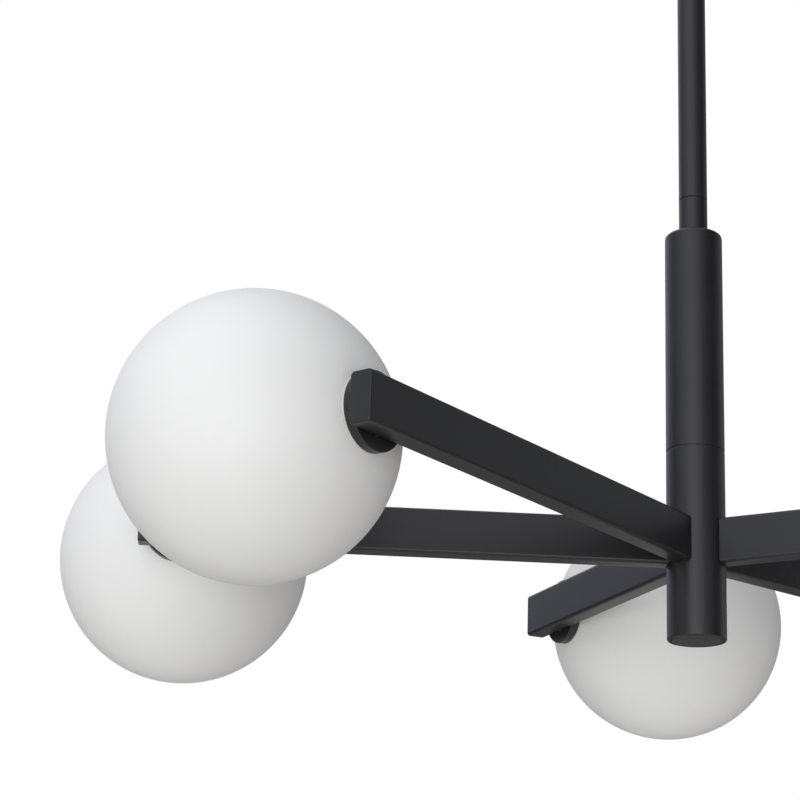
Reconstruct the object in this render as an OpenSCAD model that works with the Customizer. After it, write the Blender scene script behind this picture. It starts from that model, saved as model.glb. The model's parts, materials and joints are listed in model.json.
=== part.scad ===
// Branch chandelier: a ceiling rod, a slim column and five bars that each carry an opal globe.
// Millimetres. The ceiling is the plane z = 0 and the lamp hangs below it on the Z axis.
// +X is to the right and +Y away from someone who looks at the lamp from the front.

/* [Globes] */
// Outer diameter of a glass globe
globe_d = 140; // [130:1:150]
// Thickness of the glass
glass_t = 3; // [2:0.5:4]
// Outer diameter of the screw neck on a globe
glass_neck_d = 33.6; // [32:0.2:34]
// Length of the screw neck, from the globe's flat seat
glass_neck_len = 4; // [3:0.5:4.5]
// Height of the thread ridge on the glass neck
glass_ridge = 0.7; // [0.4:0.1:0.9]

/* [Fitters] */
// Depth of the metal cup that a globe screws into
cup_depth = 5.2; // [4.8:0.1:6]
// Thickness of the cup's floor
cup_floor = 1.2; // [1:0.1:1.5]
// Thickness of the cup's side wall
cup_wall = 2; // [1.8:0.1:2.5]
// Thickness of the silicone seal between cup and glass
seal_t = 0.8; // [0.6:0.1:1.2]
// Diameter of the ceramic lamp holder
holder_d = 17; // [15:0.5:17.5]
// Length of the ceramic lamp holder
holder_len = 16; // [14:0.5:18]
// Length of a lamp capsule, without its pins
bulb_len = 45; // [40:1:50]
// Diameter of a lamp capsule
bulb_d = 13; // [12:0.5:14]

/* [Arms] */
// Height of an arm's section
arm_h = 25; // [22:1:28]
// Width of an arm's section
arm_w = 12; // [11:0.5:13]
// Wall of an arm's tube
arm_wall = 1.5; // [1:0.1:2]
// Radius of an arm's long edges
arm_edge_r = 2; // [1.6:0.1:2.5]
// Thickness of the plate that closes an arm
plug_t = 2; // [1.5:0.1:3]
// Distance from an arm's end back to its globe's centre
globe_inset = 21; // [18:0.5:24]
// Length of arm 1, front left, from the column's centre
arm_1_len = 295; // [280:1:320]
// Length of arm 2, left
arm_2_len = 300; // [280:1:320]
// Length of arm 3, back left, the short one
arm_3_len = 196; // [190:1:220]
// Length of arm 4, right
arm_4_len = 320; // [280:1:330]
// Length of arm 5, back right
arm_5_len = 320; // [280:1:330]
// Direction of arm 1, anticlockwise from +X seen from above
arm_1_az = 240; // [238:1:242]
// Direction of arm 2
arm_2_az = 190; // [186:1:192]
// Direction of arm 3
arm_3_az = 120; // [116:1:124]
// Direction of arm 4
arm_4_az = 338.5; // [334:0.5:342]
// Direction of arm 5
arm_5_az = 46; // [42:1:50]

/* [Column] */
// Outer diameter of the barrel and the hub
column_d = 32; // [30:0.5:34]
// Wall of the barrel and the hub
column_wall = 2; // [1.5:0.1:3]
// Length of the plain barrel above the hub
barrel_len = 128; // [110:1:150]
// Height of the hub above the arms' centre plane
hub_above = 52; // [45:1:60]
// Depth of the hub below the arms' centre plane, cap included
hub_below = 53; // [45:1:60]
// Radius of the barrel's upper edge
barrel_edge_r = 2.5; // [1:0.1:3]
// Thickness of the barrel's closed top
barrel_top_t = 6; // [5:0.5:8]
// Thickness of the cap that closes the hub
cap_t = 2.5; // [2:0.1:4]
// Height of the ferrule between rod and barrel
ferrule_len = 22; // [15:1:30]

/* [Rod] */
// Outer diameter of the rod
rod_d = 16; // [15:0.2:17]
// Wall of the rod's tube
rod_wall = 1.5; // [1:0.1:2]
// Length of the upper rod section
rod_upper_len = 200; // [120:1:300]
// Length of the lower rod section
rod_lower_len = 200; // [160:1:300]
// Depth of the threaded bush in each rod end
bush_depth = 15; // [12:1:20]
// Outer diameter of the hollow threaded nipples
nipple_d = 10; // [9.6:0.1:10.4]
// Bore of the hollow threaded nipples
nipple_bore = 7; // [6.6:0.1:7.4]

/* [Ceiling] */
// Outer diameter of the canopy
canopy_d = 120; // [115:1:150]
// Height of the canopy
canopy_h = 35; // [33:1:45]
// Thickness of the canopy's sheet
canopy_wall = 1.2; // [1:0.1:1.6]
// Radius of the canopy's lower edge
canopy_edge_r = 4; // [3:0.5:6]
// Depth of the bracket's web below the ceiling
bracket_drop = 22; // [22:0.5:25]
// Width of the bracket's strap
bracket_w = 25; // [24:1:30]
// Thickness of the bracket's strap
bracket_t = 2; // [1.5:0.1:2.5]
// Distance between the two ceiling slots
slot_spacing = 76; // [74:1:80]
// Width of a ceiling slot
slot_w = 5.5; // [4.5:0.1:6]
// Length of a ceiling slot, end to end
slot_len = 14; // [10:1:16]
// Outer diameter of the collar that locks the canopy
collar_d = 24; // [22:0.5:28]
// Height of the collar below the canopy
collar_h = 12; // [10:1:16]

/* [Fits] */
// Radial play of a part that turns or slides on a round bar
running_gap = 0.06; // [0.04:0.01:0.1]
// Radial play left for a thread
thread_gap = 0.05; // [0.02:0.01:0.08]
// Play between the glass neck and the cup's wall
glass_gap = 0.3; // [0.2:0.05:0.5]
// Visible joint between the rod and the ferrule
seam_gap = 0.3; // [0.2:0.1:0.5]

/* [Leads] */
// Diameter of the sheathed lead down the rod
lead_d = 6; // [5:0.1:6.2]
// Diameter of the lead in an arm
arm_lead_d = 4; // [3:0.1:4.2]
// Diameter of a single core
core_d = 1.8; // [1.4:0.1:2]

/* [Hidden] */
$fn = 96;

ARMS = 5;
arm_len = [arm_1_len, arm_2_len, arm_3_len, arm_4_len, arm_5_len];
arm_az = [arm_1_az, arm_2_az, arm_3_az, arm_4_az, arm_5_az];

// Heights of the joints, from the ceiling down
web_z = -bracket_drop;
rod_joint_z = web_z - rod_upper_len;
rod_end_z = rod_joint_z - rod_lower_len;
barrel_z = rod_end_z - ferrule_len;
seam_z = barrel_z - barrel_len;
arm_z = seam_z - hub_above;
hub_end_z = arm_z - hub_below;

// Round sizes
rod_r = rod_d / 2;
nipple_r = nipple_d / 2;
bush_r = nipple_r + thread_gap;
column_r = column_d / 2;
column_in_r = column_r - column_wall;
ferrule_spigot_r = nipple_r + running_gap + 1.5;
ferrule_spigot_len = barrel_top_t / 2;

// Fitter, measured from an arm's centre line towards its globe
arm_face = arm_w / 2;
floor_z = arm_face + cup_floor;
rim_z = arm_face + cup_depth;
seat_z = rim_z + seal_t;
glass_r = globe_d / 2;
neck_r = glass_neck_d / 2;
neck_wall = 2;
neck_in_r = neck_r - neck_wall;
cup_in_r = neck_r + glass_gap;
cup_r = cup_in_r + cup_wall;
seal_r = cup_r - 0.1;
seat_r = seal_r - 0.7;
globe_z = seat_z + sqrt(glass_r * glass_r - seat_r * seat_r);
holder_top_z = floor_z + holder_len;
bulb_gap = 0.3;
bulb_z = holder_top_z + bulb_gap;

// Small hardware
pin_pitch = 9;
pin_w = 2.4;
pin_t = 0.8;
pin_len = 7;
pin_play = 0.25;
ear_t = 2;
screw_r = 1.25;
screw_head_r = 2.1;
screw_head_t = 1.5;
screw_len = 7;
ear_pitch = holder_d + 2 * screw_head_r + 0.6;
ear_w = 2 * screw_head_r + 0.4;
wire_hole_r = arm_lead_d / 2 + 1;
lead_bend_r = 4;
cap_gap = 0.4;
cap_chamfer = 0.6;
cap_spigot_len = 6;
plug_chamfer = 0.6;
plug_spigot_len = 4;
joiner_len = 20;
puck_h = 14;
nut_t = 6;
nut_flat = 17;
washer_t = 1;
washer_r = 10;
stud_gap = 0.1;
stud_end = 3;
stud_top_z = rod_end_z + bush_depth - 1;
stud_low_z = barrel_z - barrel_top_t - stud_gap - washer_t - nut_t - stud_end;
nipple_top_z = web_z + bracket_t + washer_t + nut_t + 1;
spigot_r = collar_d / 2 - 2;
spigot_len = 6;
collar_nut_t = 3;
grub_r = 2;
grub_socket_r = 1.1;
foot_len = slot_len + 10;
leg_x = slot_spacing / 2 - foot_len / 2;
block_w = 12;
block_l = 24;
block_x = leg_x - bracket_t - block_w / 2 - 1;
earth_x = -block_x;
earth_r = 2;
earth_head_r = 4;
core_pitch = 1.95;
core_bend_r = 2.5;
core_rise = 3;
core_level_z = nipple_top_z + core_rise;
core_grip = 3;
sheath_set = 1;
block_clamp_h = 4;
block_h = core_level_z - web_z - bracket_t + block_clamp_h;

// ---- Shapes that repeat ----

// A tube along +Z with its lower end at z = 0
module tube(outer_r, inner_r, length) {
    difference() {
        cylinder(r = outer_r, h = length);
        translate([0, 0, -1]) cylinder(r = inner_r, h = length + 2);
    }
}

// A rectangle with round corners, centred
module rounded_rect(w, h, r) {
    square([w - 2 * r, h], center = true);
    square([w, h - 2 * r], center = true);
    for (x = [-1, 1], y = [-1, 1])
        translate([x * (w / 2 - r), y * (h / 2 - r)]) circle(r);
}

// A hexagon nut along +Z, with the bore of a nipple
module hex_nut(across_flats, thickness, bore_r) {
    difference() {
        cylinder(d = across_flats / cos(30), h = thickness, $fn = 6);
        translate([0, 0, -1]) cylinder(r = bore_r, h = thickness + 2);
    }
}

// A slot through a strap, with its long side along X
module slot(length, width, depth) {
    half = (length - width) / 2;
    for (x = [-half, half]) translate([x, 0, 0]) cylinder(d = width, h = depth, center = true);
    cube([2 * half, width, depth], center = true);
}

// A round bar that runs straight and then turns a quarter circle towards +Z, in the XZ plane
module quarter_bend(bar_r, bend_r) {
    translate([0, 0, bend_r]) rotate([90, 0, 0]) rotate([0, 0, -90])
        rotate_extrude(angle = 90) translate([bend_r, 0]) circle(r = bar_r, $fn = 32);
}

// Arm frame: +X runs out along arm i, +Z is up, and the globe hangs on the -Y side
module on_arm(i) {
    translate([0, 0, arm_z]) rotate([0, 0, arm_az[i]]) children();
}

// Fitter frame: the origin is on the arm's centre line, +Z points to the globe and +Y is up
module on_fitter(i) {
    on_arm(i) translate([arm_len[i] - globe_inset, 0, 0]) rotate([90, 0, 0]) children();
}

// ---- Ceiling ----

// Hat-shaped strap: two feet with slots lie on the ceiling and the web carries the rod
module ceiling_bracket() {
    foot_end = leg_x + foot_len;
    color("silver") difference() {
        rotate([90, 0, 0]) linear_extrude(height = bracket_w, center = true) polygon([
            [-foot_end, 0], [-leg_x + bracket_t, 0],
            [-leg_x + bracket_t, web_z + bracket_t], [leg_x - bracket_t, web_z + bracket_t],
            [leg_x - bracket_t, 0], [foot_end, 0],
            [foot_end, -bracket_t], [leg_x, -bracket_t],
            [leg_x, web_z], [-leg_x, web_z],
            [-leg_x, -bracket_t], [-foot_end, -bracket_t]
        ]);
        translate([0, 0, web_z - 1]) cylinder(r = bush_r, h = bracket_t + 2);
        translate([earth_x, 0, web_z - 1]) cylinder(r = earth_r + thread_gap, h = bracket_t + 2);
        translate([block_x, 0, web_z - 1]) cylinder(r = earth_r + thread_gap, h = bracket_t + 2);
        for (x = [-1, 1]) translate([x * slot_spacing / 2, 0, 0]) slot(slot_len, slot_w, 4 * bracket_t);
    }
}

// Locknut that clamps the rod to the bracket
module rod_locknut() {
    color("silver") translate([0, 0, web_z + bracket_t + washer_t])
        hex_nut(nut_flat, nut_t, bush_r);
}

// Washer with teeth under the locknut
module toothed_washer() {
    teeth = 12;
    color("silver") translate([0, 0, web_z + bracket_t]) difference() {
        tube(washer_r, bush_r, washer_t);
        for (i = [0 : teeth - 1]) rotate([0, 0, i * 360 / teeth])
            translate([washer_r, 0, washer_t / 2]) cube([3, 1.4, washer_t + 1], center = true);
    }
}

// Hollow threaded nipple that joins bracket and rod
module top_nipple() {
    low_z = web_z - bush_depth + 1;
    color("gold") translate([0, 0, low_z])
        tube(nipple_r, nipple_bore / 2, nipple_top_z - low_z);
}

// Three-way terminal block that clips into the web
module terminal_block() {
    base_z = web_z + bracket_t;
    clamp_r = 1.9;
    color("white") {
        translate([block_x, 0, base_z]) difference() {
            translate([-block_w / 2, -block_l / 2, 0]) cube([block_w, block_l, block_h]);
            for (y = [-1, 0, 1]) translate([0, y * block_l / 3, block_h - block_clamp_h])
                cylinder(r = clamp_r, h = block_clamp_h + 1);
            translate([-block_w / 2 - 1, -2 * core_pitch, core_level_z - base_z - core_d])
                cube([core_grip + 1, 4 * core_pitch, 2 * core_d]);
        }
        translate([block_x, 0, web_z - 1]) cylinder(r = earth_r, h = bracket_t + 1);
    }
}

// Earth screw in the web: its head and cup washer above, its nut below
module earth_screw() {
    color("gold") translate([earth_x, 0, 0]) {
        difference() {
            union() {
                translate([0, 0, web_z + bracket_t]) cylinder(r = earth_head_r + 1, h = 0.8);
                translate([0, 0, web_z + bracket_t]) cylinder(r = earth_head_r, h = 3);
            }
            translate([0, 0, web_z + bracket_t + 2.2]) cube([2 * earth_head_r + 2, 1, 2], center = true);
        }
        translate([0, 0, web_z - 4]) cylinder(r = earth_r, h = bracket_t + 4);
        translate([0, 0, web_z - 3]) hex_nut(7, 3, earth_r);
    }
}

// ---- Rod ----

// A rod section hangs from z = 0; its ends are bushed for the nipples
module rod_section(length) {
    difference() {
        translate([0, 0, -length]) cylinder(r = rod_r, h = length);
        translate([0, 0, -length - 1]) cylinder(r = bush_r, h = length + 2);
        translate([0, 0, -length + bush_depth])
            cylinder(r = rod_r - rod_wall, h = length - 2 * bush_depth);
    }
}

module upper_rod() {
    color("dimgray") translate([0, 0, web_z]) rod_section(rod_upper_len);
}

module lower_rod() {
    color("dimgray") translate([0, 0, rod_joint_z]) rod_section(rod_lower_len);
}

// Hollow threaded coupler inside the joint of the two rods
module rod_coupler() {
    color("gold") translate([0, 0, rod_joint_z - bush_depth + 1])
        tube(nipple_r, nipple_bore / 2, 2 * bush_depth - 2);
}

// Hollow stud on which the ferrule, barrel and hub turn
module swivel_stud() {
    color("gold") translate([0, 0, stud_low_z])
        tube(nipple_r, nipple_bore / 2, stud_top_z - stud_low_z);
}

// Nut and washer that carry the barrel on the stud
module swivel_nut() {
    top_z = barrel_z - barrel_top_t - stud_gap;
    color("silver") {
        translate([0, 0, top_z - washer_t]) tube(washer_r, bush_r, washer_t);
        translate([0, 0, top_z - washer_t - nut_t]) hex_nut(nut_flat, nut_t, bush_r);
    }
}

// Sheathed lead down the rod; its three cores turn into the terminal block
module rod_lead() {
    sheath_end = nipple_top_z - sheath_set;
    core_face = block_x - block_w / 2;
    rise = core_level_z - core_bend_r - sheath_end;
    color("dimgray") {
        translate([0, 0, arm_z + puck_h / 2]) cylinder(d = lead_d, h = sheath_end - arm_z - puck_h / 2);
        for (y = [-1, 0, 1]) translate([0, y * core_pitch, 0]) {
            translate([0, 0, sheath_end]) cylinder(d = core_d, h = rise);
            translate([core_bend_r, 0, core_level_z]) rotate([0, 180, 0])
                quarter_bend(core_d / 2, core_bend_r);
            translate([core_bend_r, 0, core_level_z]) rotate([0, 90, 0])
                cylinder(d = core_d, h = core_face - core_bend_r + core_grip);
        }
    }
}

// ---- Canopy ----

// Deep drawn cup that covers the bracket; its open rim meets the ceiling
module canopy() {
    outer_r = canopy_d / 2;
    inner_r = outer_r - canopy_wall;
    inner_edge = canopy_edge_r - canopy_wall;
    color("dimgray") difference() {
        translate([0, 0, -canopy_h]) {
            translate([0, 0, canopy_edge_r]) cylinder(r = outer_r, h = canopy_h - canopy_edge_r);
            cylinder(r = outer_r - canopy_edge_r, h = canopy_edge_r);
            translate([0, 0, canopy_edge_r])
                rotate_extrude() translate([outer_r - canopy_edge_r, 0]) circle(r = canopy_edge_r);
        }
        translate([0, 0, -canopy_h + canopy_wall]) {
            translate([0, 0, inner_edge]) cylinder(r = inner_r, h = canopy_h);
            cylinder(r = inner_r - inner_edge, h = canopy_h);
            translate([0, 0, inner_edge])
                rotate_extrude() translate([inner_r - inner_edge, 0]) circle(r = inner_edge);
        }
        translate([0, 0, -canopy_h - 1]) cylinder(r = spigot_r + thread_gap, h = canopy_wall + 2);
    }
}

// Collar that slides on the rod and holds the canopy up with a grub screw
module canopy_collar() {
    edge = 0.8;
    color("dimgray") difference() {
        translate([0, 0, -canopy_h]) {
            rotate_extrude() polygon([
                [0, 0], [0, -collar_h], [collar_d / 2 - edge, -collar_h],
                [collar_d / 2, -collar_h + edge], [collar_d / 2, 0]
            ]);
            cylinder(r = spigot_r, h = spigot_len);
        }
        translate([0, 0, -canopy_h - collar_h - 1])
            cylinder(r = rod_r + running_gap, h = collar_h + spigot_len + 2);
        translate([0, 0, -canopy_h - collar_h / 2]) rotate([-90, 0, 0])
            cylinder(r = grub_r + thread_gap, h = collar_d);
    }
}

// Ring nut that clamps the canopy's floor to the collar
module collar_nut() {
    notches = 8;
    nut_r = collar_d / 2 + 2;
    color("silver") translate([0, 0, -canopy_h + canopy_wall]) difference() {
        tube(nut_r, spigot_r + thread_gap, collar_nut_t);
        for (i = [0 : notches - 1]) rotate([0, 0, i * 360 / notches])
            translate([nut_r, 0, collar_nut_t / 2]) cube([1.6, 3, collar_nut_t + 1], center = true);
    }
}

// Grub screw in the collar, just clear of the rod
module collar_grub_screw() {
    tip = rod_r + 4 * running_gap;
    color("silver") translate([0, 0, -canopy_h - collar_h / 2]) rotate([-90, 0, 0]) difference() {
        translate([0, 0, tip]) cylinder(r = grub_r, h = collar_d / 2 - 0.5 - tip);
        translate([0, 0, collar_d / 2 - 2]) cylinder(r = grub_socket_r, h = 3, $fn = 6);
    }
}

// ---- Column ----

// Ferrule of the rod's diameter; its spigot sits in the barrel's top
module ferrule() {
    color("dimgray") difference() {
        union() {
            translate([0, 0, barrel_z]) cylinder(r = rod_r, h = ferrule_len - seam_gap);
            translate([0, 0, barrel_z - ferrule_spigot_len])
                cylinder(r = ferrule_spigot_r, h = ferrule_spigot_len + 1);
        }
        translate([0, 0, barrel_z - barrel_top_t])
            cylinder(r = nipple_r + running_gap, h = ferrule_len + barrel_top_t + 1);
    }
}

// Plain tube with a closed top that has a rounded edge
module barrel() {
    edge = barrel_edge_r;
    color("dimgray") difference() {
        translate([0, 0, seam_z]) {
            cylinder(r = column_r, h = barrel_len - edge);
            cylinder(r = column_r - edge, h = barrel_len);
            translate([0, 0, barrel_len - edge])
                rotate_extrude() translate([column_r - edge, 0]) circle(r = edge);
        }
        translate([0, 0, seam_z - 1]) cylinder(r = column_in_r, h = barrel_len - barrel_top_t + 1);
        translate([0, 0, barrel_z - barrel_top_t - 1])
            cylinder(r = nipple_r + running_gap, h = barrel_top_t + 2);
        translate([0, 0, barrel_z - ferrule_spigot_len])
            cylinder(r = ferrule_spigot_r, h = ferrule_spigot_len + 1);
    }
}

// Turned plug that screws barrel and hub together
module joining_plug() {
    color("gold") translate([0, 0, seam_z - joiner_len / 2])
        tube(column_in_r - thread_gap, lead_d / 2 + 2, joiner_len);
}

// Tube that carries the five arms, with a hole for each arm's lead
module hub() {
    tube_end = hub_end_z + cap_t + cap_gap;
    color("dimgray") difference() {
        translate([0, 0, tube_end]) tube(column_r, column_in_r, seam_z - tube_end);
        for (i = [0 : ARMS - 1]) on_arm(i) rotate([0, 90, 0])
            cylinder(r = wire_hole_r, h = column_d);
    }
}

// Cap pressed into the hub's lower end, set off by a thin shadow gap
module hub_cap() {
    color("dimgray") translate([0, 0, hub_end_z]) rotate_extrude() polygon([
        [0, 0], [column_r - cap_chamfer, 0], [column_r, cap_chamfer], [column_r, cap_t],
        [column_in_r, cap_t], [column_in_r, cap_t + cap_spigot_len],
        [column_in_r - column_wall, cap_t + cap_spigot_len], [column_in_r - column_wall, cap_t], [0, cap_t]
    ]);
}

// Round terminal insert in the hub, where the rod's lead meets the arms' leads
module terminal_puck() {
    clamp_r = 1.7;
    clamp_at = column_in_r / 2 + 1;
    color("white") translate([0, 0, arm_z - puck_h / 2]) difference() {
        cylinder(r = column_in_r - thread_gap, h = puck_h);
        for (i = [0 : ARMS - 1]) rotate([0, 0, i * 360 / ARMS])
            translate([clamp_at, 0, -1]) cylinder(r = clamp_r, h = 5);
    }
}

// One lead per arm: out through the hub's wall, along the bar and through its side to the holder
module arm_leads() {
    start = column_in_r - thread_gap;
    color("dimgray") for (i = [0 : ARMS - 1]) on_arm(i) {
        run = arm_len[i] - globe_inset - lead_bend_r;
        translate([start, 0, 0]) rotate([0, 90, 0]) cylinder(d = arm_lead_d, h = run - start);
        translate([run, 0, 0]) rotate([90, 0, 0]) quarter_bend(arm_lead_d / 2, lead_bend_r);
        translate([run + lead_bend_r, -lead_bend_r, 0]) rotate([90, 0, 0])
            cylinder(d = arm_lead_d, h = floor_z - lead_bend_r);
    }
}

// Two screws for each lamp holder, through the cup's floor into the bar's wall
module holder_screws() {
    seat = floor_z + ear_t;
    color("silver") for (i = [0 : ARMS - 1], y = [-1, 1])
        on_fitter(i) translate([0, y * ear_pitch / 2, 0]) {
            translate([0, 0, seat - screw_len + screw_head_t]) cylinder(r = screw_r, h = screw_len);
            difference() {
                translate([0, 0, seat]) cylinder(r = screw_head_r, h = screw_head_t);
                for (a = [0, 90]) rotate([0, 0, a]) translate([0, 0, seat + screw_head_t])
                    cube([0.6, 3, 1.4], center = true);
            }
        }
}

// ---- Arms ----

// Rectangular tube, coped to the hub and drilled for its fitter
module arm(i) {
    body_len = arm_len[i] - plug_t;
    inner_r = arm_edge_r - arm_wall;
    color("dimgray") difference() {
        on_arm(i) rotate([90, 0, 90]) difference() {
            linear_extrude(height = body_len) rounded_rect(arm_w, arm_h, arm_edge_r);
            translate([0, 0, -1]) linear_extrude(height = body_len + 2)
                rounded_rect(arm_w - 2 * arm_wall, arm_h - 2 * arm_wall, max(inner_r, 0.3));
        }
        translate([0, 0, arm_z - arm_h]) cylinder(r = column_r, h = 2 * arm_h);
        on_fitter(i) {
            cylinder(r = wire_hole_r, h = arm_w);
            for (y = [-1, 1]) translate([0, y * ear_pitch / 2, 0])
                cylinder(r = screw_r + thread_gap, h = arm_w);
        }
    }
}

// Plate that closes an arm's end, with chamfered edges and a spigot inside the tube
module end_plug(i) {
    c = plug_chamfer;
    in_w = arm_w - 2 * arm_wall;
    in_h = arm_h - 2 * arm_wall;
    in_r = max(arm_edge_r - arm_wall, 0.3);
    color("dimgray") on_arm(i) translate([arm_len[i] - plug_t, 0, 0]) {
        intersection() {
            rotate([90, 0, 90]) linear_extrude(height = plug_t) rounded_rect(arm_w, arm_h, arm_edge_r);
            linear_extrude(height = arm_h, center = true) polygon([
                [0, -arm_w / 2], [plug_t - c, -arm_w / 2], [plug_t, -arm_w / 2 + c],
                [plug_t, arm_w / 2 - c], [plug_t - c, arm_w / 2], [0, arm_w / 2]
            ]);
            rotate([90, 0, 0]) linear_extrude(height = arm_w, center = true) polygon([
                [0, -arm_h / 2], [plug_t - c, -arm_h / 2], [plug_t, -arm_h / 2 + c],
                [plug_t, arm_h / 2 - c], [plug_t - c, arm_h / 2], [0, arm_h / 2]
            ]);
        }
        translate([-plug_spigot_len, 0, 0]) rotate([90, 0, 90]) difference() {
            linear_extrude(height = plug_spigot_len)
                rounded_rect(in_w, in_h, in_r);
            translate([0, 0, -1]) linear_extrude(height = plug_spigot_len + 1)
                square([in_w - 2 * arm_wall, in_h - 2 * arm_wall], center = true);
        }
    }
}

// ---- Fitters ----

// Round cup on the arm's side; the globe's neck screws into it
module fitter_cup(i) {
    edge = 0.5;
    color("dimgray") on_fitter(i) translate([0, 0, arm_face]) difference() {
        rotate_extrude() polygon([
            [0, 0], [cup_r - edge, 0], [cup_r, edge], [cup_r, cup_depth - edge],
            [cup_r - edge, cup_depth], [cup_in_r, cup_depth], [cup_in_r, cup_floor], [0, cup_floor]
        ]);
        translate([0, 0, -1]) cylinder(r = wire_hole_r, h = cup_floor + 2);
        for (y = [-1, 1]) translate([0, y * ear_pitch / 2, -1])
            cylinder(r = screw_r + thread_gap, h = cup_floor + 2);
    }
}

// Ceramic two-pin holder with two ears for its screws
module lamp_holder(i) {
    color("white") on_fitter(i) translate([0, 0, floor_z]) difference() {
        union() {
            cylinder(d = holder_d, h = holder_len);
            for (y = [-1, 1]) translate([0, y * ear_pitch / 2, 0]) cylinder(d = ear_w, h = ear_t);
            translate([-ear_w / 2, -ear_pitch / 2, 0]) cube([ear_w, ear_pitch, ear_t]);
        }
        for (y = [-1, 1]) translate([0, y * ear_pitch / 2, -1])
            cylinder(r = screw_r + thread_gap, h = ear_t + 2);
        for (y = [-1, 1]) translate([0, y * pin_pitch / 2, holder_len - pin_len / 2])
            cube([pin_w + 2 * pin_play, pin_t + 2 * pin_play, pin_len + 2], center = true);
    }
}

// Flat silicone ring between the cup's rim and the glass
module seal(i) {
    color("beige") on_fitter(i) translate([0, 0, rim_z]) tube(seal_r, neck_r + glass_gap / 2, seal_t);
}

// Opal ball with a flat seat and a short threaded neck
module globe(i) {
    color("white") on_fitter(i) difference() {
        union() {
            intersection() {
                translate([0, 0, globe_z]) sphere(r = glass_r, $fn = 192);
                translate([0, 0, seat_z]) cylinder(r = globe_d, h = 2 * globe_d);
            }
            translate([0, 0, seat_z - glass_neck_len])
                cylinder(r = neck_r - glass_ridge, h = glass_neck_len + 3);
            translate([0, 0, seat_z - glass_neck_len]) rotate_extrude() polygon([
                [neck_r - glass_ridge - 1, 0.4], [neck_r - glass_ridge, 0.4], [neck_r, 1.2],
                [neck_r, 1.6], [neck_r - glass_ridge, 2.4], [neck_r - glass_ridge - 1, 2.4]
            ]);
        }
        translate([0, 0, globe_z]) sphere(r = glass_r - glass_t, $fn = 192);
        translate([0, 0, seat_z - glass_neck_len - 1])
            cylinder(r = neck_in_r, h = glass_neck_len + 2 * glass_t + 4);
    }
}

// Two-pin lamp capsule: a base, a domed envelope and its pins
module bulb(i) {
    base_len = 12;
    dome_r = bulb_d / 2;
    color("ivory") on_fitter(i) translate([0, 0, bulb_z]) {
        cylinder(r = dome_r, h = base_len);
        translate([0, 0, base_len]) cylinder(r = dome_r - 0.5, h = bulb_len - base_len - dome_r);
        translate([0, 0, bulb_len - dome_r]) sphere(r = dome_r - 0.5, $fn = 48);
        for (y = [-1, 1]) translate([0, y * pin_pitch / 2, 1 - pin_len / 2])
            cube([pin_w, pin_t, pin_len], center = true);
    }
}

// ---- Assembly ----

ceiling_bracket();
rod_locknut();
toothed_washer();
top_nipple();
terminal_block();
earth_screw();
upper_rod();
rod_coupler();
lower_rod();
swivel_stud();
swivel_nut();
rod_lead();
canopy();
canopy_collar();
collar_nut();
collar_grub_screw();
ferrule();
barrel();
joining_plug();
hub();
hub_cap();
terminal_puck();
arm_leads();
holder_screws();
arm(0);  // arm_1
arm(1);  // arm_2
arm(2);  // arm_3
arm(3);  // arm_4
arm(4);  // arm_5
end_plug(0);  // end_plug_1
end_plug(1);  // end_plug_2
end_plug(2);  // end_plug_3
end_plug(3);  // end_plug_4
end_plug(4);  // end_plug_5
fitter_cup(0);  // fitter_cup_1
fitter_cup(1);  // fitter_cup_2
fitter_cup(2);  // fitter_cup_3
fitter_cup(3);  // fitter_cup_4
fitter_cup(4);  // fitter_cup_5
lamp_holder(0);  // lamp_holder_1
lamp_holder(1);  // lamp_holder_2
lamp_holder(2);  // lamp_holder_3
lamp_holder(3);  // lamp_holder_4
lamp_holder(4);  // lamp_holder_5
seal(0);  // seal_1
seal(1);  // seal_2
seal(2);  // seal_3
seal(3);  // seal_4
seal(4);  // seal_5
globe(0);  // globe_1
globe(1);  // globe_2
globe(2);  // globe_3
globe(3);  // globe_4
globe(4);  // globe_5
bulb(0);  // bulb_1
bulb(1);  // bulb_2
bulb(2);  // bulb_3
bulb(3);  // bulb_4
bulb(4);  // bulb_5
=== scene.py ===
import json
from functools import cache
from math import acos, cos, pi, radians, sin, sqrt, tan

import bmesh
import bpy
from bpy.props import FloatProperty, FloatVectorProperty, IntProperty, PointerProperty
from mathutils import Matrix, Vector


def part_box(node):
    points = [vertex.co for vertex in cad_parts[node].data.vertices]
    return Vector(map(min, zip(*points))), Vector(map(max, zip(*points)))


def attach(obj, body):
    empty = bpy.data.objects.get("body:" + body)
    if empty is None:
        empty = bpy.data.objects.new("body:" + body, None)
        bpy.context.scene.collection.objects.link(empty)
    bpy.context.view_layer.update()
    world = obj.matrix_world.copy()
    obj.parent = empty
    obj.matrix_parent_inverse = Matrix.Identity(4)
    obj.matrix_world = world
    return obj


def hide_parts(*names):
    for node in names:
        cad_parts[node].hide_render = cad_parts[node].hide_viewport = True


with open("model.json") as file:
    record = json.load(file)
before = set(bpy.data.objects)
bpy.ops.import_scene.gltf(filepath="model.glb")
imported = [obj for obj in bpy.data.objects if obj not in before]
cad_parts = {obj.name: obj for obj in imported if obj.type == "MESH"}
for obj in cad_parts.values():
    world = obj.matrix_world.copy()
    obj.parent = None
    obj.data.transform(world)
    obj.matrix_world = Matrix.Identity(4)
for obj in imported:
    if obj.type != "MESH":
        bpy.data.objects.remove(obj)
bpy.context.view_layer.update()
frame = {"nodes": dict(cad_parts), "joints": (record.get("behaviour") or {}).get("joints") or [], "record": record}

bl_info = {
    "name": "Branch chandelier",
    "version": (1, 0, 0),
    "blender": (4, 5, 0),
    "location": "3D View > Sidebar > Chandelier",
    "description": "Builds a rod-hung branch chandelier with opal globes round its CAD frame",
    "category": "Object",
}

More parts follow.
